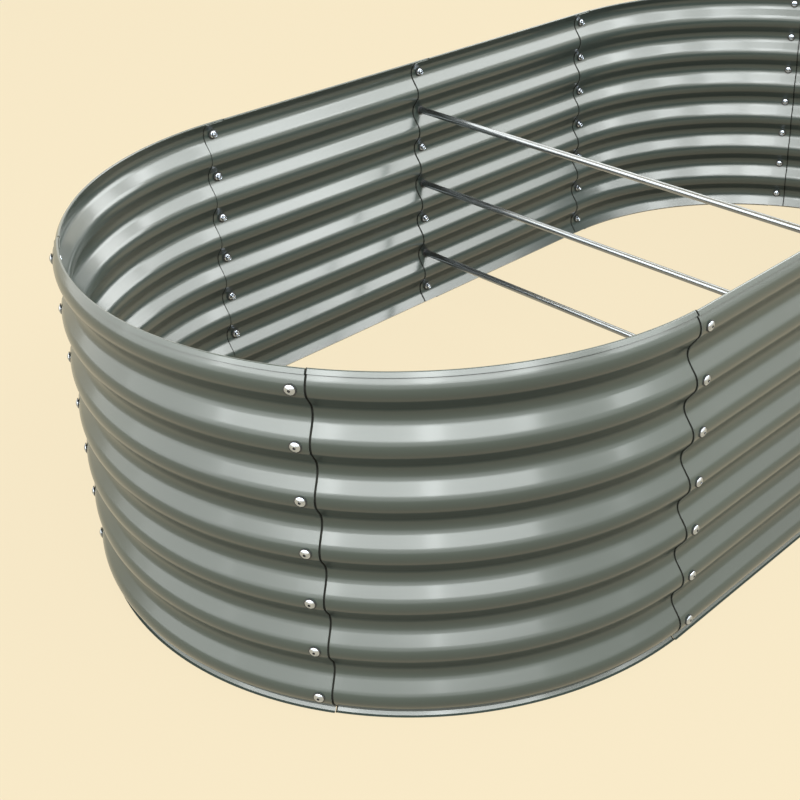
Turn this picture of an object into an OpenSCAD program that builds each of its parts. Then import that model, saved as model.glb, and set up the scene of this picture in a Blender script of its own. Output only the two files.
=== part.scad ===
// Raised garden bed of corrugated sheet steel: an open-bottomed wall in the
// shape of a running track, bolted together from curved end panels and
// straight side panels, with steel tie rods across its middle.
// Millimetres. X runs along the bed, Z is up, and the origin is on the ground
// in the middle of the bed. The near long side faces -Y.

/* [Bed] */
// Radius of each round end, measured to the outside of the ribs
end_radius = 610; // [450:10:800]
// Height of the wall
bed_h = 610; // [540:5:700]
// Length of one side panel, from bolt line to bolt line
side_panel_l = 570; // [400:10:900]

/* [Sheet] */
// Thickness of the sheet steel
sheet_t = 0.8; // [0.6:0.1:1]
// Ribs up the height of the wall
rib_count = 7; // [6:1:8]
// Depth of the ribs, crest to trough
rib_depth = 21; // [17:0.5:23]
// Lean of the flat flank between a crest and a trough, away from upright
flank_angle = 34; // [32:1:38]
// From the rim down to the middle of the top rib
top_margin = 29; // [25:1:32]
// From the ground up to the middle of the lowest rib
foot_margin = 36; // [32:1:40]
// Outside thickness of the rim, where the sheet is folded over outwards
rim_fold_d = 4.5; // [3:0.5:6]
// Length of the folded edge that hangs down outside the wall, below the fold
rim_hem_l = 7; // [4:0.5:8]
// Height of the sloping skirt at the foot
skirt_h = 5; // [4:0.5:7]
// How far the skirt slopes out
skirt_w = 4; // [3:0.5:6]
// Width of the flat toe that the wall stands on
toe_w = 4; // [3:0.5:8]

/* [Laps] */
// How far two panels overlap at a seam
lap_w = 40; // [32:1:60]
// Gap between the two sheets of a lap, square to their flanks
lap_gap = 0.25; // [0.2:0.05:0.6]
// Gap between the ends of the folded rims, and of the skirts, at a seam
rim_gap = 1; // [0.5:0.5:3]

/* [Fasteners] */
// Diameter of the bolts
bolt_d = 6; // [5:1:6]
// Length of the bolts under the head
bolt_l = 14; // [12:1:20]
// Diameter of the domed bolt head
head_d = 16; // [12:0.5:17]
// Height of the domed bolt head
head_h = 3.6; // [3:0.1:5]
// Width across the flats of the key socket in the bolt head
socket_w = 4; // [3:0.5:5]
// Depth of the key socket
socket_depth = 2.2; // [1.5:0.1:2.6]
// Diameter of the bolt holes in the panels
hole_d = 7; // [6.5:0.5:8]
// Diameter of the washers under the bolt heads
outer_washer_d = 19.5; // [17.5:0.5:22]
// Thickness of the washers under the bolt heads
outer_washer_t = 1; // [0.8:0.1:1.6]
// Diameter of the washers inside the bed
inner_washer_d = 20; // [18:0.5:22]
// Thickness of the washers inside the bed
inner_washer_t = 1.2; // [0.8:0.1:1.6]
// Width across the flats of the nuts
nut_w = 10; // [9:0.5:11]
// Height of the nuts with their locking collar
nut_h = 8; // [7:0.5:9]
// Height of the locking collar on the nuts
nut_collar_h = 1.8; // [1:0.1:2.5]
// Diameter of the flange on the nuts
nut_flange_d = 14.2; // [13:0.1:16]
// Thickness of the flange on the nuts
nut_flange_t = 1.2; // [1:0.1:2]

/* [Tie rods] */
// Diameter of the tie rods
rod_d = 15; // [10:1:18]
// Depth of the tapped hole in each end of a rod
rod_tap_depth = 20; // [15:1:40]
// Height of the bevel on each end of a rod
rod_bevel = 1; // [0.5:0.5:2]

/* [Hidden] */
// Curved panels in each round end
END_PANELS = 3;
// Ribs that carry a tie rod, counted from the rim
ROD_RIBS = [2, 4, 6];
// The way the outside of each long side faces, as an angle from X
FAR_SIDE = 90;
NEAR_SIDE = 270;
// Space between a fastener and what it bears on
seat_gap = 0.05;
// Space round a bolt in a nut, a washer or a tapped hole
thread_gap = 0.08;
washer_gap = 0.25;
// How far a cut runs past what it cuts
overrun = 2;
round_fn = 48;
wall_fn = 180;
// Flat steps that make up a bend of the sheet, and the fold of the rim
bend_steps = 8;
fold_steps = 10;

// The ribs: round crests and troughs of one bend radius, joined by flat flanks
rib_pitch = (bed_h - top_margin - foot_margin) / (rib_count - 1);
bend_r = (rib_pitch / 2 * tan(flank_angle) - rib_depth) / (2 / cos(flank_angle) - 2);
flank_rise = rib_pitch / 2 - 2 * bend_r * sin(flank_angle);
crest_mid = end_radius - sheet_t / 2;
crest_centre = crest_mid - bend_r;
trough_centre = crest_mid - rib_depth + bend_r;
function crest_z(rib) = bed_h - top_margin - (rib - 1) * rib_pitch;

// Where the straight top flank ends and the fold of the rim begins
fold_r = rim_fold_d / 2;
fold_mid_r = fold_r - sheet_t / 2;
rim_z = bed_h - fold_r - fold_mid_r * sin(flank_angle);
rim_rise = rim_z - crest_z(1) - bend_r * sin(flank_angle);
rim_x = crest_centre + bend_r * cos(flank_angle) - rim_rise * tan(flank_angle);

// Where the lowest flank would meet the ground, on the outside of the sheet
foot_x = crest_centre + (bend_r + sheet_t / 2) * cos(flank_angle)
    - (crest_z(rib_count) - (bend_r + sheet_t / 2) * sin(flank_angle)) * tan(flank_angle);

// Where the skirt begins on that flank, how steep it is, and where it ends
skirt_x = foot_x + skirt_h * tan(flank_angle);
skirt_angle = atan((skirt_h - sheet_t) / skirt_w);
toe_x = skirt_x + skirt_w;

// Angles along a round end
panel_angle = 180 / END_PANELS;
lap_angle = lap_w / 2 / end_radius * 180 / PI;
trim_angle = (lap_w / 2 + rim_gap) / end_radius * 180 / PI;

// Distance between the two sheets of a lap, middle to middle. A curved and a
// straight panel part from each other inside their lap, so it allows for that.
lap_bow = lap_w * lap_w / 8 / end_radius;
lap_step = (sheet_t + lap_gap) / cos(flank_angle) + lap_bow;

// Places along a bolt, measured out from the middle of the bed's round end
crest_face = end_radius + lap_step / 2;
head_seat = crest_face + outer_washer_t + 2 * seat_gap;
valley_face = end_radius - lap_step / 2 - sheet_t;
inner_washer_face = valley_face - valley_stand(inner_washer_d / 2) - seat_gap;
nut_face = inner_washer_face - inner_washer_t - seat_gap;

// How far a flat disc of this radius stands off the bottom of a rib's hollow side
function valley_stand(disc_r) =
    let (hollow_r = bend_r - sheet_t / 2, arc_half = hollow_r * sin(flank_angle))
    disc_r <= arc_half
        ? hollow_r - sqrt(hollow_r * hollow_r - disc_r * disc_r)
        : hollow_r * (1 - cos(flank_angle)) + (disc_r - arc_half) * tan(flank_angle);

// Each seam: where its round end's middle lies along X, and the way its bolts point
FAR_MID = [0, FAR_SIDE];
FAR_LEFT = [-side_panel_l, FAR_SIDE];
LEFT_FAR = [-side_panel_l, FAR_SIDE + panel_angle];
LEFT_NEAR = [-side_panel_l, NEAR_SIDE - panel_angle];
NEAR_LEFT = [-side_panel_l, NEAR_SIDE];
NEAR_MID = [0, NEAR_SIDE];
NEAR_RIGHT = [side_panel_l, NEAR_SIDE];
RIGHT_NEAR = [side_panel_l, NEAR_SIDE + panel_angle];
RIGHT_FAR = [side_panel_l, FAR_SIDE - panel_angle];
FAR_RIGHT = [side_panel_l, FAR_SIDE];

// Points along a bend of the sheet, going down the wall
function bend_points(centre_x, centre_z, radius, from, to) = [
    for (step = [0:bend_steps])
        let (angle = from + (to - from) * step / bend_steps)
        [centre_x + radius * cos(angle), centre_z + radius * sin(angle)]
];

// One face of the corrugated sheet from the rim down: the outer face is half a
// thickness outside the middle of the sheet, and the inner face is inside it
function face_points(half_t) = [
    for (rib = [1:rib_count]) each concat(
        bend_points(crest_centre, crest_z(rib), bend_r + half_t, flank_angle, -flank_angle),
        rib == rib_count ? [] : bend_points(trough_centre, crest_z(rib) - rib_pitch / 2,
            bend_r - half_t, 180 - flank_angle, 180 + flank_angle))
];

// Points along the rim, from its free edge up the hem and round the fold to
// where the flank begins
function rim_points(radius) =
    let (x = rim_x + fold_mid_r * cos(flank_angle), z = bed_h - fold_r)
    concat(
        [[x + radius * cos(flank_angle) + rim_hem_l * sin(flank_angle),
          z + radius * sin(flank_angle) - rim_hem_l * cos(flank_angle)]],
        [for (step = [0:fold_steps])
            let (angle = flank_angle + 180 * step / fold_steps)
            [x + radius * cos(angle), z + radius * sin(angle)]]
    );

// Points round the foot: down the skirt, along the toe and back underneath
function foot_points() =
    let (rise = sheet_t * (sin(skirt_angle) / cos(flank_angle) - 1)
             / (tan(flank_angle) * sin(skirt_angle) + cos(skirt_angle)))
    [[skirt_x, skirt_h],
     [toe_x, sheet_t],
     [toe_x + toe_w, sheet_t],
     [toe_x + toe_w, 0],
     [skirt_x + (skirt_h * cos(skirt_angle) - sheet_t) / sin(skirt_angle), 0],
     [skirt_x + rise * tan(flank_angle) - sheet_t / cos(flank_angle), skirt_h + rise]];

function reversed(points) = [for (i = [len(points) - 1:-1:0]) points[i]];

// Section through a panel: folded rim, ribs, and the foot that it stands on
module sheet_section() {
    polygon(concat(
        rim_points(fold_r - sheet_t),
        face_points(sheet_t / 2),
        foot_points(),
        reversed(face_points(-sheet_t / 2)),
        reversed(rim_points(fold_r))
    ));
}

// What is cut off the section inside a lap, under the neighbour: the folded rim
// square to the flank, and the skirt along the flank's outer face
module trim_section() {
    up = [-sin(flank_angle), cos(flank_angle)];
    out = [cos(flank_angle), sin(flank_angle)];
    skin = sheet_t / 2 + sheet_t / 8;
    edge = [rim_x, rim_z];
    inner = edge - (skin + overrun) * out;
    outer = edge + skin * out;
    low = outer - (rim_hem_l + overrun) * up;
    far = (rim_fold_d + overrun) * out;
    top = (rim_fold_d + overrun) * up;
    polygon([inner, outer, low, low + far, outer + far + top, inner + top]);
    root = foot_x + sheet_t / 8;
    tip = toe_x + toe_w + overrun;
    level = skirt_h + sheet_t / 4;
    polygon([[root - overrun * tan(flank_angle), -overrun], [tip, -overrun],
             [tip, level], [root + level * tan(flank_angle), level]]);
}

// A bolt hole through both sheets of a lap, at the height of one rib
module bolt_hole(rib) {
    translate([valley_face - rib_depth, 0, crest_z(rib)]) rotate([0, 90, 0])
        cylinder(d = hole_d, h = 2 * rib_depth, $fn = round_fn);
}

// Sweeps a section round the middle of an end, from one angle to another
module curved_run(from, to) {
    rotate(from) rotate_extrude(angle = to - from, $fn = wall_fn) children();
}

// Sweeps a section along the far wall, from one x to another
module straight_run(from, to) {
    translate([from, 0, 0]) rotate([90, 0, 90]) linear_extrude(to - from) children();
}

// How far a panel's end is moved out, where it lies over its neighbour, or in
function shift(over) = over ? lap_step / 2 : -lap_step / 2;

// A curved panel of the left end, from the bolt line at one angle to the next.
// It is moved as a whole so that each of its ends lies over its neighbour's or
// under it. An end that lies under has neither folded rim nor skirt in its lap.
module end_panel(from, over_from, over_to) {
    to = from + panel_angle;
    middle = from + panel_angle / 2;
    out = (shift(over_from) + shift(over_to)) / 2 / cos(panel_angle / 2);
    along = (shift(over_to) - shift(over_from)) / 2 / sin(panel_angle / 2);
    difference() {
        translate([-side_panel_l + out * cos(middle) - along * sin(middle),
                   out * sin(middle) + along * cos(middle), 0])
            difference() {
                curved_run(from - lap_angle, to + lap_angle) sheet_section();
                if (!over_from)
                    curved_run(from - 2 * lap_angle, from + trim_angle) trim_section();
                if (!over_to)
                    curved_run(to - trim_angle, to + 2 * lap_angle) trim_section();
            }
        for (line = [from, to], rib = [1:rib_count])
            translate([-side_panel_l, 0, 0]) rotate(line) bolt_hole(rib);
    }
}

// A side panel of the far wall, from the bolt line at x to the next. It is
// turned about its middle by as much as its two laps need.
module side_panel(x, over_from, over_to) {
    to = x + side_panel_l;
    middle = x + side_panel_l / 2;
    turn = atan((shift(over_to) - shift(over_from)) / side_panel_l);
    trim = lap_w / 2 + rim_gap;
    difference() {
        translate([middle, end_radius + (shift(over_from) + shift(over_to)) / 2, 0])
            rotate(turn) translate([-middle, -end_radius, 0]) difference() {
                straight_run(x - lap_w / 2, to + lap_w / 2) sheet_section();
                if (!over_from) straight_run(x - lap_w, x + trim) trim_section();
                if (!over_to) straight_run(to - trim, to + lap_w) trim_section();
            }
        for (line = [x, to], rib = [1:rib_count])
            translate([line, 0, 0]) rotate(90) bolt_hole(rib);
    }
}

// The bed is the same after half a turn, so each panel has a twin
module twin() rotate(180) children();

// Puts something on the crest of each rib of a seam, with +Z pointing outwards
// and z = 0 at the middle of the bed's round end
module at_ribs(seam, ribs) {
    for (rib = ribs)
        translate([seam[0], 0, crest_z(rib)]) rotate([0, 90, seam[1]]) children();
}

// A plain washer that lies between two distances from the middle of the end
module washer(d, from, to) {
    translate([0, 0, from]) difference() {
        cylinder(d = d, h = to - from, $fn = round_fn);
        translate([0, 0, -overrun])
            cylinder(d = bolt_d + 2 * washer_gap, h = to - from + 2 * overrun, $fn = round_fn);
    }
}

// A bolt with a low domed head and a key socket; its thread is left plain
module bolt() {
    rim = head_h / 5;
    dome_h = head_h - rim;
    dome_r = (head_d * head_d / 4 + dome_h * dome_h) / (2 * dome_h);
    translate([0, 0, head_seat]) difference() {
        union() {
            rotate_extrude($fn = round_fn) intersection() {
                translate([0, head_h - dome_r]) circle(dome_r, $fn = wall_fn);
                square([head_d / 2, head_h]);
            }
            translate([0, 0, -bolt_l]) cylinder(d = bolt_d, h = bolt_l + rim, $fn = round_fn);
        }
        translate([0, 0, head_h - socket_depth])
            cylinder(d = socket_w / cos(30), h = socket_depth + overrun, $fn = 6);
    }
}

// A flanged hexagon nut with a rounded locking collar at its free end
module nut() {
    corner_r = nut_w / 2 / cos(30);
    collar_r = nut_w / 2 - nut_collar_h / 4;
    translate([0, 0, nut_face - nut_h]) difference() {
        union() {
            translate([0, 0, nut_collar_h])
                cylinder(r = corner_r, h = nut_h - nut_collar_h, $fn = 6);
            cylinder(r1 = collar_r - nut_collar_h / 3, r2 = collar_r,
                     h = nut_collar_h / 3, $fn = round_fn);
            translate([0, 0, nut_collar_h / 3])
                cylinder(r = collar_r, h = nut_collar_h, $fn = round_fn);
            translate([0, 0, nut_h - nut_flange_t])
                cylinder(d = nut_flange_d, h = nut_flange_t, $fn = round_fn);
        }
        translate([0, 0, -overrun])
            cylinder(d = bolt_d + 2 * thread_gap, h = nut_h + 2 * overrun, $fn = round_fn);
    }
}

// The fasteners of one seam. Where a tie rod ends, the bolt goes into the rod.
module seam_bolts(seam) {
    color("#dfe2e1") at_ribs(seam, [1:rib_count]) bolt();
}
module seam_outer_washers(seam) {
    from = crest_face + seat_gap;
    color("#2c302e") at_ribs(seam, [1:rib_count])
        washer(outer_washer_d, from, from + outer_washer_t);
}
module seam_inner_washers(seam) {
    color("#2c302e") at_ribs(seam, [1:rib_count])
        washer(inner_washer_d, inner_washer_face - inner_washer_t, inner_washer_face);
}
module seam_nuts(seam, has_rods = false) {
    ribs = [for (rib = [1:rib_count]) if (!has_rods || !is_rod_rib(rib)) rib];
    color("#ccd0cf") at_ribs(seam, ribs) nut();
}
function is_rod_rib(rib) = len(search(rib, ROD_RIBS)) > 0;

// A round rod across the bed, bevelled and tapped at each end
module tie_rod(rib) {
    half = nut_face;
    r = rod_d / 2;
    color("#d3d7d6") translate([0, 0, crest_z(rib)]) rotate([90, 0, 0]) difference() {
        rotate_extrude($fn = round_fn)
            polygon([[0, -half], [r - rod_bevel, -half], [r, -half + rod_bevel],
                     [r, half - rod_bevel], [r - rod_bevel, half], [0, half]]);
        for (end = [-1, 1]) translate([0, 0, end * half])
            cylinder(d = bolt_d + 2 * thread_gap, h = 2 * rod_tap_depth, center = true,
                     $fn = round_fn);
    }
}

module left_end_far_panel() { color("#7d8a80") end_panel(FAR_SIDE, true, false); }
module left_end_middle_panel() { color("#758278") end_panel(FAR_SIDE + panel_angle, true, true); }
module left_end_near_panel() { color("#7d8a80") end_panel(FAR_SIDE + 2 * panel_angle, false, false); }
module right_end_far_panel() { color("#7d8a80") twin() end_panel(FAR_SIDE + 2 * panel_angle, false, false); }
module right_end_middle_panel() { color("#758278") twin() end_panel(FAR_SIDE + panel_angle, true, true); }
module right_end_near_panel() { color("#7d8a80") twin() end_panel(FAR_SIDE, true, false); }
module far_left_side_panel() { color("#838f86") side_panel(-side_panel_l, false, true); }
module far_right_side_panel() { color("#7a877d") side_panel(0, false, true); }
module near_left_side_panel() { color("#838f86") twin() side_panel(0, false, true); }
module near_right_side_panel() { color("#7a877d") twin() side_panel(-side_panel_l, false, true); }

module upper_tie_rod() { tie_rod(ROD_RIBS[0]); }
module middle_tie_rod() { tie_rod(ROD_RIBS[1]); }
module lower_tie_rod() { tie_rod(ROD_RIBS[2]); }

module far_mid_bolts() { seam_bolts(FAR_MID); }
module far_left_bolts() { seam_bolts(FAR_LEFT); }
module left_far_bolts() { seam_bolts(LEFT_FAR); }
module left_near_bolts() { seam_bolts(LEFT_NEAR); }
module near_left_bolts() { seam_bolts(NEAR_LEFT); }
module near_mid_bolts() { seam_bolts(NEAR_MID); }
module near_right_bolts() { seam_bolts(NEAR_RIGHT); }
module right_near_bolts() { seam_bolts(RIGHT_NEAR); }
module right_far_bolts() { seam_bolts(RIGHT_FAR); }
module far_right_bolts() { seam_bolts(FAR_RIGHT); }

module far_mid_outer_washers() { seam_outer_washers(FAR_MID); }
module far_left_outer_washers() { seam_outer_washers(FAR_LEFT); }
module left_far_outer_washers() { seam_outer_washers(LEFT_FAR); }
module left_near_outer_washers() { seam_outer_washers(LEFT_NEAR); }
module near_left_outer_washers() { seam_outer_washers(NEAR_LEFT); }
module near_mid_outer_washers() { seam_outer_washers(NEAR_MID); }
module near_right_outer_washers() { seam_outer_washers(NEAR_RIGHT); }
module right_near_outer_washers() { seam_outer_washers(RIGHT_NEAR); }
module right_far_outer_washers() { seam_outer_washers(RIGHT_FAR); }
module far_right_outer_washers() { seam_outer_washers(FAR_RIGHT); }

module far_mid_inner_washers() { seam_inner_washers(FAR_MID); }
module far_left_inner_washers() { seam_inner_washers(FAR_LEFT); }
module left_far_inner_washers() { seam_inner_washers(LEFT_FAR); }
module left_near_inner_washers() { seam_inner_washers(LEFT_NEAR); }
module near_left_inner_washers() { seam_inner_washers(NEAR_LEFT); }
module near_mid_inner_washers() { seam_inner_washers(NEAR_MID); }
module near_right_inner_washers() { seam_inner_washers(NEAR_RIGHT); }
module right_near_inner_washers() { seam_inner_washers(RIGHT_NEAR); }
module right_far_inner_washers() { seam_inner_washers(RIGHT_FAR); }
module far_right_inner_washers() { seam_inner_washers(FAR_RIGHT); }

module far_mid_nuts() { seam_nuts(FAR_MID, has_rods = true); }
module far_left_nuts() { seam_nuts(FAR_LEFT); }
module left_far_nuts() { seam_nuts(LEFT_FAR); }
module left_near_nuts() { seam_nuts(LEFT_NEAR); }
module near_left_nuts() { seam_nuts(NEAR_LEFT); }
module near_mid_nuts() { seam_nuts(NEAR_MID, has_rods = true); }
module near_right_nuts() { seam_nuts(NEAR_RIGHT); }
module right_near_nuts() { seam_nuts(RIGHT_NEAR); }
module right_far_nuts() { seam_nuts(RIGHT_FAR); }
module far_right_nuts() { seam_nuts(FAR_RIGHT); }

left_end_far_panel();
left_end_middle_panel();
left_end_near_panel();
right_end_far_panel();
right_end_middle_panel();
right_end_near_panel();
far_left_side_panel();
far_right_side_panel();
near_left_side_panel();
near_right_side_panel();
upper_tie_rod();
middle_tie_rod();
lower_tie_rod();
far_mid_bolts();
far_left_bolts();
left_far_bolts();
left_near_bolts();
near_left_bolts();
near_mid_bolts();
near_right_bolts();
right_near_bolts();
right_far_bolts();
far_right_bolts();
far_mid_outer_washers();
far_left_outer_washers();
left_far_outer_washers();
left_near_outer_washers();
near_left_outer_washers();
near_mid_outer_washers();
near_right_outer_washers();
right_near_outer_washers();
right_far_outer_washers();
far_right_outer_washers();
far_mid_inner_washers();
far_left_inner_washers();
left_far_inner_washers();
left_near_inner_washers();
near_left_inner_washers();
near_mid_inner_washers();
near_right_inner_washers();
right_near_inner_washers();
right_far_inner_washers();
far_right_inner_washers();
far_mid_nuts();
far_left_nuts();
left_far_nuts();
left_near_nuts();
near_left_nuts();
near_mid_nuts();
near_right_nuts();
right_near_nuts();
right_far_nuts();
far_right_nuts();
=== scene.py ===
# %% [markdown]
# A raised garden bed with rounded ends, bolted together from ten corrugated
# steel panels and braced by three rods. This lesson dresses its bare solids:
# it rolls finer panels, turns the fasteners, mixes the finishes, then sets up
# the floor, the lamps and the camera. Everything is in metres, in the frame
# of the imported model: X along the bed, Z up, the ground at zero.

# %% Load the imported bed
import bpy, bmesh, math
from mathutils import Matrix, Vector


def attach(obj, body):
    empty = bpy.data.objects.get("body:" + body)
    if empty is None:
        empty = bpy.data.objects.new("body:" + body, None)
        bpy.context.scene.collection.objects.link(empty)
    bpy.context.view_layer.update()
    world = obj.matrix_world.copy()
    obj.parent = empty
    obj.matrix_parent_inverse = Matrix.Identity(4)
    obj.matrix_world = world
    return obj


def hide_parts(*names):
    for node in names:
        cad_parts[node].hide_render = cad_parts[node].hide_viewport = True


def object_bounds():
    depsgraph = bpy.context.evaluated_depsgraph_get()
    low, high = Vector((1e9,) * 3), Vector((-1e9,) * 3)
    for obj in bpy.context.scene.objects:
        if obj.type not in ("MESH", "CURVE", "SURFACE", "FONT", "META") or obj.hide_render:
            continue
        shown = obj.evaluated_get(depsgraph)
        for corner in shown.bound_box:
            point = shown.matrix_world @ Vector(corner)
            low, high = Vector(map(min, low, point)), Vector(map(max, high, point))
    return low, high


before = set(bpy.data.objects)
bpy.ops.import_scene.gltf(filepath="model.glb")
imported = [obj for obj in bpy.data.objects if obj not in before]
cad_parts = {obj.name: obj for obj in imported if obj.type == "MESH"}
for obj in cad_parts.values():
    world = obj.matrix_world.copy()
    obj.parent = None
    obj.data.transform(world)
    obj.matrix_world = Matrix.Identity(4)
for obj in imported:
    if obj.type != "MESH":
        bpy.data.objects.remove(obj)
cad_low, cad_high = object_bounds()
solid_size = [round(v, 4) for v in cad_high - cad_low]
print("solid bed:", solid_size, "metres,", len(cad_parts), "nodes")

# %% [markdown]
# The numbers below are the ones that the bed was drawn with, so each piece
# that is made here lies where its plain solid lies. One number differs: the
# sheet's flanks lean three degrees more here than in the solids, which makes
# their reflections as narrow as the real ones and moves no surface by more
# than 0.7 mm. Blender never moves the solids. A new piece rides on the bed's
# one body and stands for its solid.

# %% Sizes of the bed
END_RADIUS = 0.610
BED_HEIGHT = 0.610
SIDE_PANEL = 0.570
RIBS = 7
TOP_MARGIN, FOOT_MARGIN = 0.029, 0.036
RIB_PITCH = (BED_HEIGHT - TOP_MARGIN - FOOT_MARGIN) / (RIBS - 1)


def crest_height(rib):
    """Height of a rib's crest; rib 1 is the uppermost."""
    return BED_HEIGHT - TOP_MARGIN - (rib - 1) * RIB_PITCH


print("rib pitch", round(RIB_PITCH * 1000, 2), "mm")

# %% [markdown]
# The sheet is 0.8 mm steel, rolled into round crests and troughs that are
# joined by flat flanks. A section like this could be drawn with a curve and a
# profile. Here the points are worked out one by one, so that the flanks stay
# perfectly flat: they carry the long bright reflections that make the bed look
# like steel. The bend radius follows from the pitch, the depth and the lean.

# %% Section of the sheet
SHEET = 0.0008
RIB_DEPTH = 0.021
FLANK = math.radians(37)  # the plain solids have 34
BEND = (RIB_PITCH / 2 * math.tan(FLANK) - RIB_DEPTH) / (2 / math.cos(FLANK) - 2)
CREST_CENTRE = END_RADIUS - SHEET / 2 - BEND
TROUGH_CENTRE = END_RADIUS - SHEET / 2 - RIB_DEPTH + BEND
BEND_STEPS = 12


def arc(centre_x, centre_z, radius, start, stop, steps):
    """Points along an arc in the section, ends included."""
    angles = [start + (stop - start) * k / steps for k in range(steps + 1)]
    return [(centre_x + radius * math.cos(a), centre_z + radius * math.sin(a)) for a in angles]


def ribbed_face(offset):
    """One face of the ribbed sheet from the rim down, offset from its middle."""
    points = []
    for rib in range(1, RIBS + 1):
        z = crest_height(rib)
        points += arc(CREST_CENTRE, z, BEND + offset, FLANK, -FLANK, BEND_STEPS)
        if rib < RIBS:
            points += arc(TROUGH_CENTRE, z - RIB_PITCH / 2, BEND - offset,
                          math.pi - FLANK, math.pi + FLANK, BEND_STEPS)
    return points


print("bend radius", round(BEND * 1000, 1), "mm,", len(ribbed_face(0)), "points down one face")

# %% [markdown]
# The rim and the foot are the two edges of the same section. At the top the
# edge is folded over outwards, and ends in a flat hem that hangs along the
# first flank. At the foot it turns out into a sloping skirt with a flat toe,
# which stands on the ground. Each edge could be a piece of its own, but the
# real sheet has no seam there, so both are more points of the same outline.

# %% The folded rim and the foot
FOLD = 0.0045 / 2  # outer radius of the fold
HEM = 0.007
FOLD_STEPS = 16
SKIRT_HEIGHT, SKIRT_WIDTH, TOE = 0.005, 0.004, 0.004
FOLD_MIDDLE = FOLD - SHEET / 2
RIM_RISE = (BED_HEIGHT - FOLD - FOLD_MIDDLE * math.sin(FLANK)
            - crest_height(1) - BEND * math.sin(FLANK))
RIM_X = CREST_CENTRE + BEND * math.cos(FLANK) - RIM_RISE * math.tan(FLANK)
FOLD_X = RIM_X + FOLD_MIDDLE * math.cos(FLANK)
FOOT_X = (CREST_CENTRE + (BEND + SHEET / 2) * math.cos(FLANK)
          - (crest_height(RIBS) - (BEND + SHEET / 2) * math.sin(FLANK)) * math.tan(FLANK))
RIM_POINTS = FOLD_STEPS + 1


def folded_rim(radius):
    """The hem's free edge, then round the fold to where the top flank begins."""
    fold = arc(FOLD_X, BED_HEIGHT - FOLD, radius, FLANK, math.pi + FLANK, FOLD_STEPS)
    x, z = fold[0]
    return [(x + HEM * math.sin(FLANK), z - HEM * math.cos(FLANK))] + fold


def foot_points():
    """Down the skirt, along the toe and back underneath."""
    x = FOOT_X + SKIRT_HEIGHT * math.tan(FLANK)
    slope = math.atan2(SKIRT_HEIGHT - SHEET, SKIRT_WIDTH)
    rise = SHEET * (math.sin(slope) / math.cos(FLANK) - 1) / (
        math.tan(FLANK) * math.sin(slope) + math.cos(slope))
    toe = x + SKIRT_WIDTH
    under_skirt = x + (SKIRT_HEIGHT * math.cos(slope) - SHEET) / math.sin(slope)
    under_flank = x + rise * math.tan(FLANK) - SHEET / math.cos(FLANK)
    return [(x, SKIRT_HEIGHT), (toe, SHEET), (toe + TOE, SHEET), (toe + TOE, 0),
            (under_skirt, 0), (under_flank, SKIRT_HEIGHT + rise)]


outer_face = folded_rim(FOLD - SHEET) + ribbed_face(SHEET / 2)
inner_face = folded_rim(FOLD) + ribbed_face(-SHEET / 2)
foot = foot_points()
print("rim at x", round(RIM_X, 4), "foot at x", [round(x, 4) for x, z in foot])

# %% [markdown]
# Every panel is that section swept along the wall, straight or round an end.
# Neighbours lap by 40 mm. The end that lies underneath has no folded rim and
# no skirt inside the lap, or the two could not nest, so the sweep drops those
# points there. A dark line lies along each lap, where the top sheet's edge
# shades the sheet below it. That line is a narrow strip of faces with a finish
# of its own, because a shadow gap of a quarter of a millimetre is far too thin
# for a picture of the whole bed. Seen from outside it lies on the sheet
# underneath, and over that sheet's hem and skirt. Seen from inside it lies on
# the sheet on top.

# %% Sweep a panel
LAP = 0.040
RIM_GAP = 0.001
LINE_WIDTH = 0.003
SHEET_CREASE = math.radians(35)
FLAT_FACES_LEAD = 100
TINY = 1e-6
ROUND_STEP, STRAIGHT_STEP = 0.0135, 0.060
PAINT, EDGE, LINE = 0, 1, 2


def stations(length, step):
    """Places along a panel, from the end of one lap to the end of the other."""
    inside = [LAP / 2, LAP / 2 + RIM_GAP, LAP / 2 + LINE_WIDTH]
    mirrored = [length - v for v in reversed(inside)]
    fixed = [-LAP / 2, 0] + inside + mirrored + [length, length + LAP / 2]
    count = max(1, round((length - 2 * inside[-1]) / step))
    between = [inside[-1] + (length - 2 * inside[-1]) * k / count for k in range(1, count)]
    return sorted(fixed + between)


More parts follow.
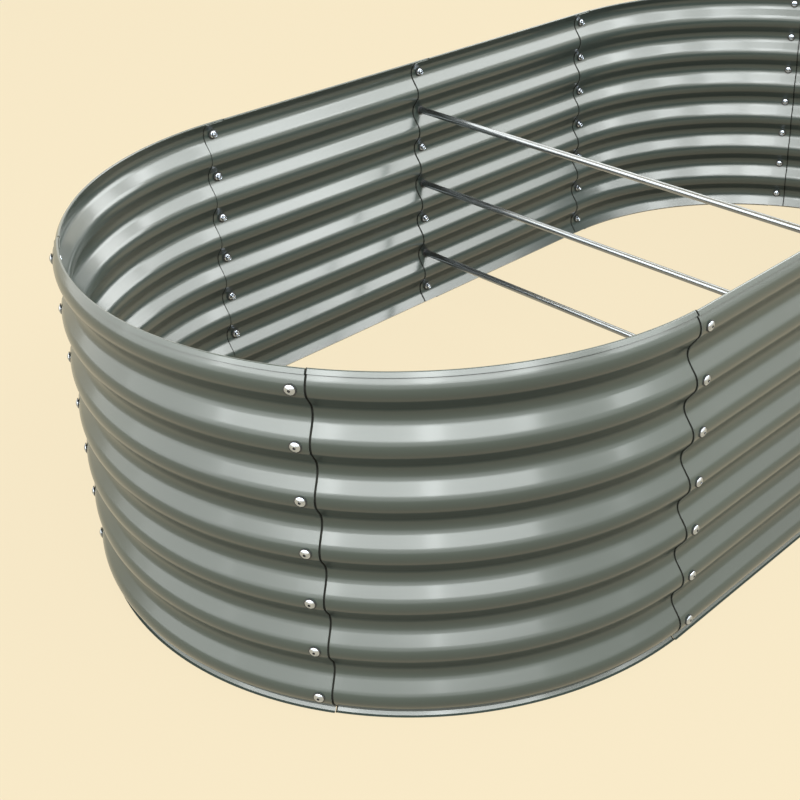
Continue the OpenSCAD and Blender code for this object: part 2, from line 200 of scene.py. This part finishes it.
def sweep_panel(name, place, length, step, over_start, over_end):
    """A closed mesh: the section at each station, set down by place(u, x, z)."""
    mesh = bmesh.new()
    rows = []
    cut_start, cut_end = LAP / 2 + RIM_GAP, length - LAP / 2 - RIM_GAP
    for u in stations(length, step):
        lap_only = ((not over_start and u < cut_start - TINY)
                    or (not over_end and u > cut_end + TINY))
        edge = ((not over_start and abs(u - cut_start) < TINY)
                or (not over_end and abs(u - cut_end) < TINY))
        row = {"u": u, "lap": lap_only, "edge": edge}
        for side, face in (("out", outer_face), ("in", inner_face)):
            row[side] = [None if lap_only and k < RIM_POINTS else mesh.verts.new(place(u, x, z))
                         for k, (x, z) in enumerate(face)]
        skirt = range(1, len(foot) - 1)
        row["foot"] = [None if lap_only and k in skirt else mesh.verts.new(place(u, x, z))
                       for k, (x, z) in enumerate(foot)]
        rows.append(row)

    def face(material, *corners):
        made = mesh.faces.new(corners)
        made.material_index = material
        made.smooth = True

    def lines(row, lap_only):
        """The section's outline as runs of vertices: outer face, foot, inner face."""
        start = RIM_POINTS if lap_only else 0
        outer, inner = row["out"][start:], row["in"][start:]
        feet = [row["foot"][0], row["foot"][-1]] if lap_only else row["foot"]
        return outer + [feet[0]], feet, [feet[-1]] + inner[::-1]

    for a, b in zip(rows, rows[1:]):
        lap_only = a["lap"] or b["lap"]
        near_start = a["u"] >= LAP / 2 - TINY and b["u"] <= LAP / 2 + LINE_WIDTH + TINY
        near_end = (a["u"] >= length - LAP / 2 - LINE_WIDTH - TINY
                    and b["u"] <= length - LAP / 2 + TINY)
        for part, (one, two) in enumerate(zip(lines(a, lap_only), lines(b, lap_only))):
            hem = len(one) if part < 2 or lap_only else len(one) - 1 - RIM_POINTS
            for k in range(len(one) - 1):
                outside = part < 2 or k >= hem  # folding turns the sheet's inner face out
                shaded = ((near_start and outside != over_start)
                          or (near_end and outside != over_end))
                face(LINE if shaded else PAINT, one[k], one[k + 1], two[k + 1], two[k])
        start = RIM_POINTS if lap_only else 0
        face(EDGE, a["out"][start], b["out"][start], b["in"][start], a["in"][start])

    def close(row, start, stop):
        """Closes the cut end of the sheet between two points of the section."""
        for k in range(start, stop):
            face(EDGE, row["out"][k], row["out"][k + 1], row["in"][k + 1], row["in"][k])

    def close_foot(row):
        """Closes the cut end of the skirt and the toe."""
        f = row["foot"]
        face(EDGE, f[0], f[1], f[4], f[5])
        face(EDGE, f[1], f[2], f[3], f[4])

    for row in (rows[0], rows[-1]):
        close(row, RIM_POINTS if row["lap"] else 0, len(outer_face) - 1)
        face(EDGE, row["out"][-1], row["foot"][0], row["foot"][-1], row["in"][-1])
        if not row["lap"]:
            close_foot(row)
    for row in rows:
        if row["edge"]:
            close(row, 0, RIM_POINTS)
            close_foot(row)
    bmesh.ops.recalc_face_normals(mesh, faces=mesh.faces)
    data = bpy.data.meshes.new(name)
    mesh.to_mesh(data)
    mesh.free()
    data.set_sharp_from_angle(angle=SHEET_CREASE)
    panel = bpy.data.objects.new(name, data)
    bpy.context.scene.collection.objects.link(panel)
    normals = panel.modifiers.new("flat flanks", "WEIGHTED_NORMAL")
    normals.keep_sharp = True
    normals.weight = FLAT_FACES_LEAD
    return panel


print("stations on a side panel:", len(stations(SIDE_PANEL, STRAIGHT_STEP)))

# %% [markdown]
# A panel end lies either over its neighbour or under it, half a step outwards
# or half a step inwards. A curved panel is moved as a whole to suit, and a
# straight one is turned a little about its middle, as the fitter would do
# before the bolts go in. Half a turn about Z brings each panel onto its twin
# at the other end of the bed.

# %% Where the panels go
LAP_GAP = 0.00025
LAP_BULGE = LAP * LAP / 8 / END_RADIUS  # how far a curved end bulges within its lap
LAP_STEP = (SHEET + LAP_GAP) / math.cos(FLANK) + LAP_BULGE
THIRD = math.radians(60)
FAR_SIDE, NEAR_SIDE = math.radians(90), math.radians(270)


def shift(over):
    """How far a lapped end moves, outwards if it lies over its neighbour."""
    return LAP_STEP / 2 if over else -LAP_STEP / 2


def round_place(start, over_start, over_end, half_turn):
    """Where a point of a curved panel of the left end goes, or of its twin."""
    middle = start + THIRD / 2
    out = (shift(over_start) + shift(over_end)) / 2 / math.cos(THIRD / 2)
    along = (shift(over_end) - shift(over_start)) / 2 / math.sin(THIRD / 2)
    cx = -SIDE_PANEL + out * math.cos(middle) - along * math.sin(middle)
    cy = out * math.sin(middle) + along * math.cos(middle)
    way = -1 if half_turn else 1

    def place(u, x, z):
        angle = start + u / END_RADIUS
        return way * (cx + x * math.cos(angle)), way * (cy + x * math.sin(angle)), z
    return place


def straight_place(start_x, over_start, over_end, half_turn):
    """Where a point of a straight panel of the far side goes, or of its twin."""
    middle = start_x + SIDE_PANEL / 2
    turn = math.atan((shift(over_end) - shift(over_start)) / SIDE_PANEL)
    out = (shift(over_start) + shift(over_end)) / 2
    way = -1 if half_turn else 1

    def place(u, x, z):
        run, stand = u - SIDE_PANEL / 2, x - END_RADIUS
        px = middle + run * math.cos(turn) - stand * math.sin(turn)
        py = END_RADIUS + out + run * math.sin(turn) + stand * math.cos(turn)
        return way * px, way * py, z
    return place


print("a lapped end moves", round(shift(True) * 1000, 2), "mm out or in")

# %% [markdown]
# Two tables hold the panels of a round end and of a long side. Each says where
# a panel starts, whether it lies over its neighbour at its start and at its
# end, and whether it is the twin on the other side. The curved ones are swept
# in short steps, or their outline would show corners. The straight ones need
# only a few.

# %% Roll the ten panels
ROUND_PANELS = {
    "left_end_far_panel": (FAR_SIDE, True, False, False),
    "left_end_middle_panel": (FAR_SIDE + THIRD, True, True, False),
    "left_end_near_panel": (FAR_SIDE + 2 * THIRD, False, False, False),
    "right_end_near_panel": (FAR_SIDE, True, False, True),
    "right_end_middle_panel": (FAR_SIDE + THIRD, True, True, True),
    "right_end_far_panel": (FAR_SIDE + 2 * THIRD, False, False, True),
}
STRAIGHT_PANELS = {
    "far_left_side_panel": (-SIDE_PANEL, False, True, False),
    "far_right_side_panel": (0, False, True, False),
    "near_right_side_panel": (-SIDE_PANEL, False, True, True),
    "near_left_side_panel": (0, False, True, True),
}
panels = {}
for node, (start, over_a, over_b, half_turn) in ROUND_PANELS.items():
    place = round_place(start, over_a, over_b, half_turn)
    panels[node] = sweep_panel("ribbed_" + node, place, END_RADIUS * THIRD, ROUND_STEP,
                               over_a, over_b)
for node, (start, over_a, over_b, half_turn) in STRAIGHT_PANELS.items():
    place = straight_place(start, over_a, over_b, half_turn)
    panels[node] = sweep_panel("ribbed_" + node, place, SIDE_PANEL, STRAIGHT_STEP,
                               over_a, over_b)
for node, panel in panels.items():
    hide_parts(node)
    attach(panel, "root")
print(len(panels), "panels,", sum(len(p.data.polygons) for p in panels.values()), "faces")

# %% [markdown]
# A finish starts from Blender's Principled shader. Noise on the object's own
# coordinates drives the small changes, so they keep their real size in metres
# on every piece and need no unwrapping. A number that is the same all over
# goes straight onto the shader's socket.

# %% Helpers for the finishes
NOISE_LOW, NOISE_HIGH = 0.2, 0.8


def new_finish(name, **settings):
    """A material with its shader's sockets set, and its node tree."""
    finish = bpy.data.materials.new(name)
    finish.use_nodes = True
    shader = finish.node_tree.nodes["Principled BSDF"]
    for socket, value in settings.items():
        shader.inputs[socket.replace("_", " ")].default_value = value
    return finish, finish.node_tree, shader


def noise_at(tree, scale, detail=2.0, stretch=(1, 1, 1)):
    """Noise in the object's own space, scale in cells per metre."""
    where = tree.nodes.new("ShaderNodeTexCoord")
    mapping = tree.nodes.new("ShaderNodeMapping")
    mapping.inputs["Scale"].default_value = stretch
    noise = tree.nodes.new("ShaderNodeTexNoise")
    noise.inputs["Scale"].default_value = scale
    noise.inputs["Detail"].default_value = detail
    tree.links.new(where.outputs["Object"], mapping.inputs["Vector"])
    tree.links.new(mapping.outputs["Vector"], noise.inputs["Vector"])
    return noise.outputs["Fac"]


def spread(tree, value, low, high):
    """Maps noise, which seldom leaves its middle range, softly onto low to high."""
    ranged = tree.nodes.new("ShaderNodeMapRange")
    ranged.interpolation_type = "SMOOTHSTEP"
    ranged.inputs["From Min"].default_value = NOISE_LOW
    ranged.inputs["From Max"].default_value = NOISE_HIGH
    ranged.inputs["To Min"].default_value = low
    ranged.inputs["To Max"].default_value = high
    tree.links.new(value, ranged.inputs["Value"])
    return ranged.outputs["Result"]


def two_tones(tree, shader, value, dark, light):
    """Lets noise wander between two close colours."""
    ramp = tree.nodes.new("ShaderNodeValToRGB")
    ramp.color_ramp.interpolation = "EASE"
    first, last = ramp.color_ramp.elements
    first.position, last.position = NOISE_LOW, NOISE_HIGH
    first.color, last.color = (*dark, 1), (*light, 1)
    tree.links.new(value, ramp.inputs["Fac"])
    tree.links.new(ramp.outputs["Color"], shader.inputs["Base Color"])


def bumps(tree, shader, *layers):
    """Stacks bump layers, each noise with its height in metres."""
    normal = None
    for value, height in layers:
        bump = tree.nodes.new("ShaderNodeBump")
        bump.inputs["Strength"].default_value = 1
        bump.inputs["Distance"].default_value = height
        tree.links.new(value, bump.inputs["Height"])
        if normal:
            tree.links.new(normal, bump.inputs["Normal"])
        normal = bump.outputs["Normal"]
    tree.links.new(normal, shader.inputs["Normal"])


print("noise is used from", NOISE_LOW, "to", NOISE_HIGH)

# %% [markdown]
# The coating is a dark sage green baked onto the sheet, under a clear coat.
# One glossy shader would give hard bands, and one satin shader soft ones. The
# real sheet shows both, so the clear coat mirrors the lamps as bands with a
# crisp edge, and the satin colour under it lets the light fade away beside
# them. The tone wanders very slightly, and the roughness with it.

# %% Coated sheet
coated, tree, shader = new_finish("sage coated sheet", Roughness=0.30, IOR=1.42,
                                  Coat_Weight=0.45, Coat_Roughness=0.13, Coat_IOR=1.5)
two_tones(tree, shader, noise_at(tree, 3.0, 1), (0.0205, 0.027, 0.0235), (0.0235, 0.031, 0.0265))
tree.links.new(spread(tree, noise_at(tree, 5, 1), 0.28, 0.32), shader.inputs["Roughness"])
tree.links.new(spread(tree, noise_at(tree, 4, 1), 0.12, 0.14), shader.inputs["Coat Roughness"])
bumps(tree, shader, (noise_at(tree, 300, 1), 0.0000012))
print("the coated sheet's finish has", len(tree.nodes), "nodes")

# %% [markdown]
# Two more finishes go on a panel. Its cut edges are bare steel, dulled by the
# weather, and its lap lines are nearly black and mirror nothing, as a narrow
# gap does. A mask could mix all three in one shader. The sweep has already
# given each face its finish, so three slots are simpler and stay crisp.

# %% Cut edges and lap lines
cut_edge, tree, shader = new_finish("cut edge", Metallic=0.6, Roughness=0.5)
two_tones(tree, shader, noise_at(tree, 60), (0.10, 0.11, 0.10), (0.16, 0.17, 0.16))
lap_line, tree, shader = new_finish("shaded lap line", Roughness=0.9, IOR=1.2)
two_tones(tree, shader, noise_at(tree, 80), (0.004, 0.004, 0.003), (0.010, 0.010, 0.008))
for panel in panels.values():
    for finish in (coated, cut_edge, lap_line):
        panel.data.materials.append(finish)
print("finishes on a panel:", [m.name for m in panels["left_end_far_panel"].data.materials])

# %% [markdown]
# The fasteners are turned parts. Each is lofted through rings that share one
# centre line, and a ring may be round or six-sided, so the same helper makes
# a domed head, the hexagon key socket in it and a flanged nut.

# %% Loft rings into a turned piece
def six_sided(width):
    """Radius of a hexagon by angle, from its width across the flats."""
    return lambda a: width / 2 / math.cos((a + math.pi / 6) % (math.pi / 3) - math.pi / 6)


def at_most(shape, limit):
    """The same radius by angle, with its corners turned down to a round limit."""
    return lambda a: min(shape(a), limit)


def loft(rings, around=48, closed=True):
    """Lofts (radius, height) rings; closed joins the last ring to the first."""
    mesh = bmesh.new()
    made = []
    for radius, height in rings:
        ring = []
        for k in range(around):
            a = 2 * math.pi * k / around
            r = radius(a) if callable(radius) else radius
            ring.append(mesh.verts.new((r * math.cos(a), r * math.sin(a), height)))
        made.append(ring)
    pairs = list(zip(made, made[1:]))
    if closed:
        pairs.append((made[-1], made[0]))
    for one, two in pairs:
        for k in range(around):
            n = (k + 1) % around
            mesh.faces.new((one[k], one[n], two[n], two[k])).smooth = True
    if not closed:
        mesh.faces.new(made[0]).smooth = True
        mesh.faces.new(made[-1]).smooth = True
    bmesh.ops.recalc_face_normals(mesh, faces=mesh.faces)
    return mesh


def darken_hollow(mesh, reach, deepest):
    """Gives the second finish to faces within reach of the axis, above deepest."""
    for face in mesh.faces:
        middle = face.calc_center_median()
        if middle.z > deepest and max(v.co.xy.length for v in face.verts) < reach:
            face.material_index = 1
    return mesh


corner = six_sided(0.010)(math.pi / 6)
print("a 10 mm hexagon is", round(2000 * corner, 2), "mm across its corners")

# %% [markdown]
# A bolt is a shank with a low domed head and a key socket. A nut has a round
# collar at its free end, a hexagon, and a flange that presses on the washer.
# Threads could be cut with a screw modifier, but every thread here is hidden
# in a nut or a rod, so the shanks stay plain. The outlines run from ring to
# ring, as radius and height in metres. Their smallest numbers soften edges,
# and it is those edges that catch the light on parts as small as these.

# %% Bolt, washers and nut
BOLT, BOLT_LENGTH = 0.006, 0.014
HEAD, HEAD_HEIGHT = 0.016, 0.0036
SOCKET, SOCKET_DEPTH = 0.004, 0.0022
OUTER_WASHER, OUTER_WASHER_T = 0.0195, 0.001
INNER_WASHER, INNER_WASHER_T = 0.020, 0.0012
NUT, NUT_HEIGHT, COLLAR_HEIGHT = 0.010, 0.008, 0.0018
NUT_FLANGE, NUT_FLANGE_T = 0.0142, 0.0012
DOME_SHARES = (0.985, 0.95, 0.88, 0.78, 0.66, 0.54, 0.44, 0.38)  # of the head's radius
TURNED_CREASE = math.radians(32)


def bolt_rings():
    """From the tip of the shank, out under the head, over the dome, into the socket."""
    r, side = HEAD / 2, HEAD_HEIGHT / 5
    dome = HEAD_HEIGHT - side
    ball = (HEAD * HEAD / 4 + dome * dome) / (2 * dome)

    def dome_z(radius):
        return HEAD_HEIGHT - ball + math.sqrt(ball * ball - radius * radius)

    lip = SOCKET / 2 / math.cos(math.pi / 6)
    shank = [(0.0022, -BOLT_LENGTH), (BOLT / 2, -BOLT_LENGTH + 0.0008), (BOLT / 2, 0)]
    rim = [(r - 0.0004, 0), (r - 0.0001, 0.00012), (r, 0.0004), (r, side - 0.0001)]
    top = [(r * share, dome_z(r * share)) for share in DOME_SHARES]
    key = [(lip + 0.00035, dome_z(lip) - 0.00002),
           (at_most(six_sided(SOCKET + 0.0003), lip + 0.0001), HEAD_HEIGHT - 0.0003),
           (six_sided(SOCKET), HEAD_HEIGHT - 0.0006),
           (six_sided(SOCKET), HEAD_HEIGHT - SOCKET_DEPTH),
           (0.0006, HEAD_HEIGHT - SOCKET_DEPTH - 0.0004)]
    return shank + rim + top + key


def washer_rings(width, thick, soft):
    """A flat ring with rounded edges."""
    hole = BOLT / 2 + 0.00025
    r = width / 2
    return [(hole, 0), (r - soft, 0), (r - soft * 0.3, soft * 0.3), (r, soft), (r, thick - soft),
            (r - soft * 0.3, thick - soft * 0.3), (r - soft, thick), (hole, thick)]


def nut_rings():
    """From its free end: the collar's bore and lip, the hexagon, the flange."""
    bore = BOLT / 2 + 0.00008
    collar = NUT / 2 - COLLAR_HEIGHT / 4
    flat = six_sided(NUT)
    wide, top = NUT_FLANGE / 2, NUT_HEIGHT - NUT_FLANGE_T
    lip = [(bore, NUT_HEIGHT), (bore, 0.0011), (bore + 0.0004, 0.0002), (collar - 0.0009, 0),
           (collar - 0.0004, 0.00012), (collar - 0.0001, 0.0005), (collar, 0.0009),
           (collar, COLLAR_HEIGHT - 0.0001)]
    hexagon = [(at_most(flat, NUT / 2 + 0.00002), COLLAR_HEIGHT),
               (at_most(flat, NUT / 2 + 0.0004), COLLAR_HEIGHT + 0.00035),
               (flat, COLLAR_HEIGHT + 0.0009), (flat, top - 0.0004)]
    flange = [(at_most(lambda a: flat(a) + 0.0004, wide), top - 0.0001),
              (wide - 0.0004, top + 0.0001), (wide, top + 0.0004),
              (wide, NUT_HEIGHT - 0.0002), (wide - 0.0002, NUT_HEIGHT)]
    return lip + hexagon + flange


# The faces inside each bolt's key socket take a second, near-black finish: painted shade for the
# recess.
shapes = {
    "bolts": darken_hollow(loft(bolt_rings(), closed=False), reach=SOCKET * 0.6, deepest=0.001),
    "outer_washers": loft(washer_rings(OUTER_WASHER, OUTER_WASHER_T, 0.0003)),
    "inner_washers": loft(washer_rings(INNER_WASHER, INNER_WASHER_T, 0.0004)),
    "nuts": loft(nut_rings()),
}
print("faces of one", {name: len(shape.faces) for name, shape in shapes.items()})

# %% [markdown]
# Seven fasteners sit on the crests of each of the ten seams. From outside in
# they are the bolt's head, its washer, the two sheets, the washer inside and
# the nut. Each rib's hollow side is round, so the inner washer bridges it and
# stands a little way off. On the middle seams three of the nuts give way to
# the rods, whose tapped ends the bolts run into.

# %% Places along a bolt
SEAT_GAP = 0.00005
CREST_FACE = END_RADIUS + LAP_STEP / 2
HEAD_SEAT = CREST_FACE + OUTER_WASHER_T + 2 * SEAT_GAP
HOLLOW = BEND - SHEET / 2
STAND = HOLLOW - math.sqrt(HOLLOW ** 2 - INNER_WASHER ** 2 / 4)
INNER_WASHER_FACE = END_RADIUS - LAP_STEP / 2 - SHEET - STAND - SEAT_GAP
NUT_FACE = INNER_WASHER_FACE - INNER_WASHER_T - SEAT_GAP
ALONG_BOLT = {"bolts": HEAD_SEAT, "outer_washers": CREST_FACE + SEAT_GAP,
              "inner_washers": INNER_WASHER_FACE - INNER_WASHER_T, "nuts": NUT_FACE - NUT_HEIGHT}
ROD_RIBS = (2, 4, 6)
SEAMS = {
    "far_mid": (0, FAR_SIDE), "far_left": (-SIDE_PANEL, FAR_SIDE),
    "left_far": (-SIDE_PANEL, FAR_SIDE + THIRD), "left_near": (-SIDE_PANEL, NEAR_SIDE - THIRD),
    "near_left": (-SIDE_PANEL, NEAR_SIDE), "near_mid": (0, NEAR_SIDE),
    "near_right": (SIDE_PANEL, NEAR_SIDE), "right_near": (SIDE_PANEL, NEAR_SIDE + THIRD),
    "right_far": (SIDE_PANEL, FAR_SIDE - THIRD), "far_right": (SIDE_PANEL, FAR_SIDE),
}
print("washer stands", round(STAND * 1000, 2), "mm off the rib's hollow side")

# %% [markdown]
# The seven copies of a part on one seam are joined into one mesh, because the
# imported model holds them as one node. Instances would be lighter, but one
# piece has to stand for one node. Every copy is turned to an angle of its own,
# as the spanner leaves it, and the angle comes from the numbers of its seam
# and rib, so it is the same on every run.

# %% Set the fasteners on every seam
SEAM_TURN, RIB_TURN, HEX_TURN = 47, 71, 60


def spin_of(seam, rib):
    """Angle at which a bolt or nut stopped; after 60 degrees a hexagon repeats."""
    return math.radians((seam * SEAM_TURN + rib * RIB_TURN) % HEX_TURN)


def crest_at(x, angle, rib):
    """Turns a part's own axis to point out of the wall at a rib of a seam."""
    return Matrix.Translation((x, 0, crest_height(rib))) @ \
        Matrix.Rotation(angle, 4, "Z") @ Matrix.Rotation(math.radians(90), 4, "Y")


fasteners = {}
for seam_number, (seam, (x, angle)) in enumerate(SEAMS.items()):
    for kind, shape in shapes.items():
        group = bmesh.new()
        for rib in range(1, RIBS + 1):
            if kind == "nuts" and seam.endswith("_mid") and rib in ROD_RIBS:
                continue
            one = shape.copy()
            lift = Matrix.Translation((0, 0, ALONG_BOLT[kind]))
            spin = Matrix.Rotation(spin_of(seam_number, rib), 4, "Z")
            one.transform(crest_at(x, angle, rib) @ lift @ spin)
            held = bpy.data.meshes.new("held")
            one.to_mesh(held)
            one.free()
            group.from_mesh(held)
            bpy.data.meshes.remove(held)
        name = "turned_" + seam + "_" + kind
        data = bpy.data.meshes.new(name)
        group.to_mesh(data)
        group.free()
        data.set_sharp_from_angle(angle=TURNED_CREASE)
        piece = bpy.data.objects.new(name, data)
        bpy.context.scene.collection.objects.link(piece)
        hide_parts(seam + "_" + kind)
        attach(piece, "root")
        fasteners[seam, kind] = piece
print(len(fasteners), "groups,", sum(len(p.data.polygons) for p in fasteners.values()), "faces")

# %% [markdown]
# Three round rods brace the long sides. Each is a bar as wide as the bed with
# a small bevel at its ends, which butt on the washers inside the ribs. A stock
# cylinder has no bevel, so the rod is lofted like the fasteners, with a few
# rings along its length that keep the faces from growing too long.

# %% Tie rods
ROD, ROD_BEVEL, TAPPED_MOUTH = 0.015, 0.001, 0.0032
ROD_CREASE = math.radians(50)
half, r = NUT_FACE, ROD / 2
ends = [(TAPPED_MOUTH, 0), (r - ROD_BEVEL, 0), (r - 0.0003, ROD_BEVEL - 0.0003),
        (r, ROD_BEVEL + 0.0003)]
rod_rings = [(radius, -half + z) for radius, z in ends]
rod_rings += [(r, z) for z in (-half / 2, 0, half / 2)]
rod_rings += [(radius, half - z) for radius, z in reversed(ends)]
rods = {}
for node, rib in zip(("upper_tie_rod", "middle_tie_rod", "lower_tie_rod"), ROD_RIBS):
    shape = loft(rod_rings, closed=False)
    shape.transform(Matrix.Translation((0, 0, crest_height(rib))) @
                    Matrix.Rotation(math.radians(90), 4, "X"))
    data = bpy.data.meshes.new("turned_" + node)
    shape.to_mesh(data)
    shape.free()
    data.set_sharp_from_angle(angle=ROD_CREASE)
    rod = bpy.data.objects.new("turned_" + node, data)
    bpy.context.scene.collection.objects.link(rod)
    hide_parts(node)
    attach(rod, "root")
    rods[node] = rod
print("rod length", round(2 * NUT_FACE, 4), "metres")

# %% [markdown]
# Bolts and nuts are zinc plated, so their bright steel is a little blue, with
# fine wear on it. The key sockets get a near-black finish, painted shade for the
# dark of the recess. The rods are drawn bar, so their grain runs along the bar:
# the noise is stretched hard along Y. The washers are dull black rubber.

# %% Bright steel and dark rubber
plated, tree, shader = new_finish("zinc plated steel", Metallic=1.0, Roughness=0.24)
two_tones(tree, shader, noise_at(tree, 160, 2), (0.36, 0.40, 0.46), (0.50, 0.54, 0.61))
tree.links.new(spread(tree, noise_at(tree, 420, 3), 0.16, 0.30), shader.inputs["Roughness"])
bumps(tree, shader, (noise_at(tree, 1500, 3), 0.00001))

# Painted shade: this near-black finish goes on the faces inside the key sockets to darken the
# recess.
painted_socket_shade, tree, shader = new_finish("painted socket shade", Metallic=0.7, Roughness=0.4)
two_tones(tree, shader, noise_at(tree, 400, 2), (0.012, 0.012, 0.013), (0.035, 0.035, 0.036))

drawn, tree, shader = new_finish("drawn bar", Metallic=1.0, Roughness=0.3)
tone_grain = noise_at(tree, 300, 3, (1, 0.02, 1))
sheen_grain = noise_at(tree, 500, 3, (1, 0.03, 1))
two_tones(tree, shader, tone_grain, (0.22, 0.235, 0.255), (0.30, 0.32, 0.34))
tree.links.new(spread(tree, sheen_grain, 0.22, 0.34), shader.inputs["Roughness"])
bumps(tree, shader, (noise_at(tree, 1800, 2, (1, 0.01, 1)), 0.000008))

rubber, tree, shader = new_finish("washer rubber", Roughness=0.6, IOR=1.45)
two_tones(tree, shader, noise_at(tree, 200, 3), (0.008, 0.008, 0.008), (0.015, 0.015, 0.014))
bumps(tree, shader, (noise_at(tree, 1400, 3), 0.00003))

for (seam, kind), piece in fasteners.items():
    piece.data.materials.append(rubber if "washers" in kind else plated)
    if kind == "bolts":
        piece.data.materials.append(painted_socket_shade)
for rod in rods.values():
    rod.data.materials.append(drawn)
print("finishes on the fasteners:", [m.name for m in (plated, painted_socket_shade, drawn, rubber)])

# %% [markdown]
# The floor is one wide plain sheet. Its pale colour is given to the camera and
# to reflections as light of its own, so it stays even right to the horizon,
# and a small share of it is a matt surface, which takes the bed's soft shadow.
# The world carries the same colour behind it.

# %% Floor and world
PALE = (0.93, 0.807, 0.571)


def seen_directly(tree):
    """1 for camera, glossy and transmission rays, and 0 for soft bounced light."""
    path = tree.nodes.new("ShaderNodeLightPath")
    most = tree.nodes.new("ShaderNodeMath")
    most.operation = "MAXIMUM"
    tree.links.new(path.outputs["Is Camera Ray"], most.inputs[0])
    tree.links.new(path.outputs["Is Glossy Ray"], most.inputs[1])
    both = tree.nodes.new("ShaderNodeMath")
    both.operation = "MAXIMUM"
    tree.links.new(most.outputs[0], both.inputs[0])
    tree.links.new(path.outputs["Is Transmission Ray"], both.inputs[1])
    return both.outputs[0]


FLOOR_GLOW, FLOOR_SHARE = 0.925, 0.026
FLOOR_WIDTH, FLOOR_TOP = 60, -0.0005
bpy.ops.mesh.primitive_grid_add(x_subdivisions=4, y_subdivisions=4, size=FLOOR_WIDTH,
                                location=(0, 0, FLOOR_TOP))
floor = bpy.context.object
floor.name = "floor"
floor_finish, tree, shader = new_finish("pale floor", Roughness=1.0)
shader.inputs["Specular IOR Level"].default_value = 0
shader.inputs["Base Color"].default_value = (*[tone * FLOOR_SHARE for tone in PALE], 1)
shader.inputs["Emission Color"].default_value = (*PALE, 1)
glow = tree.nodes.new("ShaderNodeMath")
glow.operation = "MULTIPLY"
glow.inputs[1].default_value = FLOOR_GLOW
tree.links.new(seen_directly(tree), glow.inputs[0])
tree.links.new(glow.outputs[0], shader.inputs["Emission Strength"])
floor.data.materials.append(floor_finish)

SOFT_FILL = (0.12, 0.125, 0.13)
world = bpy.data.worlds.new("studio")
bpy.context.scene.world = world
world.use_nodes = True
tree = world.node_tree
sky = tree.nodes["Background"]
colour = tree.nodes.new("ShaderNodeMix")
colour.data_type = "RGBA"
colour.inputs["A"].default_value = (*SOFT_FILL, 1)
colour.inputs["B"].default_value = (*PALE, 1)
tree.links.new(seen_directly(tree), colour.inputs["Factor"])
tree.links.new(colour.outputs["Result"], sky.inputs["Color"])
print("floor of", FLOOR_WIDTH, "metres, soft fill from the world", SOFT_FILL)

# %% [markdown]
# The bright bands on the flanks are reflections of lamps that stand high all
# round the bed. One sky of even light would give no bands, and small lamps
# would give spots. A ring of wide soft boxes does it, each turned to face the
# bed. Under each hangs a second box, much dimmer, that fades the light away
# over the ribs. The table gives every pair its brightness: the pairs behind the
# bed are dim, or the rods that mirror them would turn white, and three on the
# near side reach higher, for the inside of the right end. One more box on the
# right hangs low and brightens the inside of the left end. An area lamp's
# power is its brightness times its area times pi.

# %% Soft boxes
LAMP_COLOUR = (0.96, 1.0, 1.0)
RING_DISTANCE = 10


def soft_box(name, azimuth, low, high, width, brightness, distance=RING_DISTANCE):
    """A rectangular lamp that fills the sky from low to high, in degrees."""
    middle, az = math.radians((low + high) / 2), math.radians(azimuth)
    tall = 2 * distance * math.tan(math.radians(high - low) / 2)
    data = bpy.data.lights.new(name, "AREA")
    data.shape = "RECTANGLE"
    data.size, data.size_y = width, tall
    data.energy = brightness * math.pi * width * tall
    lamp = bpy.data.objects.new(name, data)
    away = Vector((math.cos(az) * math.cos(middle), math.sin(az) * math.cos(middle),
                   math.sin(middle)))
    lamp.location = away * distance + Vector((0, 0, BED_HEIGHT / 2))
    lamp.rotation_euler = away.to_track_quat("Z", "Y").to_euler()
    data.color = LAMP_COLOUR
    lamp.visible_camera = False
    bpy.context.scene.collection.objects.link(lamp)


RING_FOOT, BOX_WIDTH = 4, 5.3
RING = [  # azimuth, edge between the two boxes, top, brightness of the upper and the lower
    (0, 30, 47, 8.0, 1.2), (30, 30, 47, 2.7, 1.1), (60, 30, 47, 2.5, 1.1),
    (90, 30, 47, 2.5, 1.1), (120, 30, 47, 2.7, 2.3), (150, 26, 47, 5.0, 3.3),
    (180, 27, 47, 9.4, 2.7), (210, 28, 64, 8.6, 2.0), (240, 28, 64, 8.6, 2.0),
    (270, 38, 62, 7.2, 1.5), (300, 28, 54, 7.8, 1.2), (330, 27, 47, 7.8, 1.2),
]
for azimuth, edge, top, bright, dim in RING:
    soft_box("ring box %d" % azimuth, azimuth, edge, top, BOX_WIDTH, bright)
    soft_box("dim box %d" % azimuth, azimuth, RING_FOOT, edge, BOX_WIDTH, dim)
soft_box("low box", azimuth=-5, low=8, high=26, width=4.5, brightness=8.4, distance=9)
print(len(bpy.data.lights), "lamps")

# %% [markdown]
# The camera stands where the photographer stood, to the left of the near side
# and above the rim, and looks down at the bed. The picture is only a part of
# a wider view, so the lens is shifted to bring that part into the frame.

# %% Camera
FOCAL, CENTRE_X, CENTRE_Y, PICTURE = 1322.7, 502.3, 322.0, 800  # in pixels
SENSOR = 36
CAMERA_PLACE = (-2.0034, -1.5612, 1.4795)
HEADING, DIP, ROLL = -46.35, 27.71, -0.48
camera_data = bpy.data.cameras.new("camera")
camera_data.sensor_width = SENSOR
camera_data.lens = FOCAL / PICTURE * SENSOR
camera_data.shift_x = (PICTURE / 2 - CENTRE_X) / PICTURE
camera_data.shift_y = (CENTRE_Y - PICTURE / 2) / PICTURE
camera = bpy.data.objects.new("camera", camera_data)
camera.matrix_world = Matrix.Translation(CAMERA_PLACE) @ \
    Matrix.Rotation(math.radians(HEADING), 4, "Z") @ \
    Matrix.Rotation(math.radians(90 - DIP), 4, "X") @ \
    Matrix.Rotation(math.radians(ROLL), 4, "Z")
bpy.context.scene.collection.objects.link(camera)
bpy.context.scene.camera = camera
bpy.context.scene.view_settings.view_transform = "Standard"
print("lens", round(camera_data.lens, 2), "mm, shift",
      round(camera_data.shift_x, 4), round(camera_data.shift_y, 4))
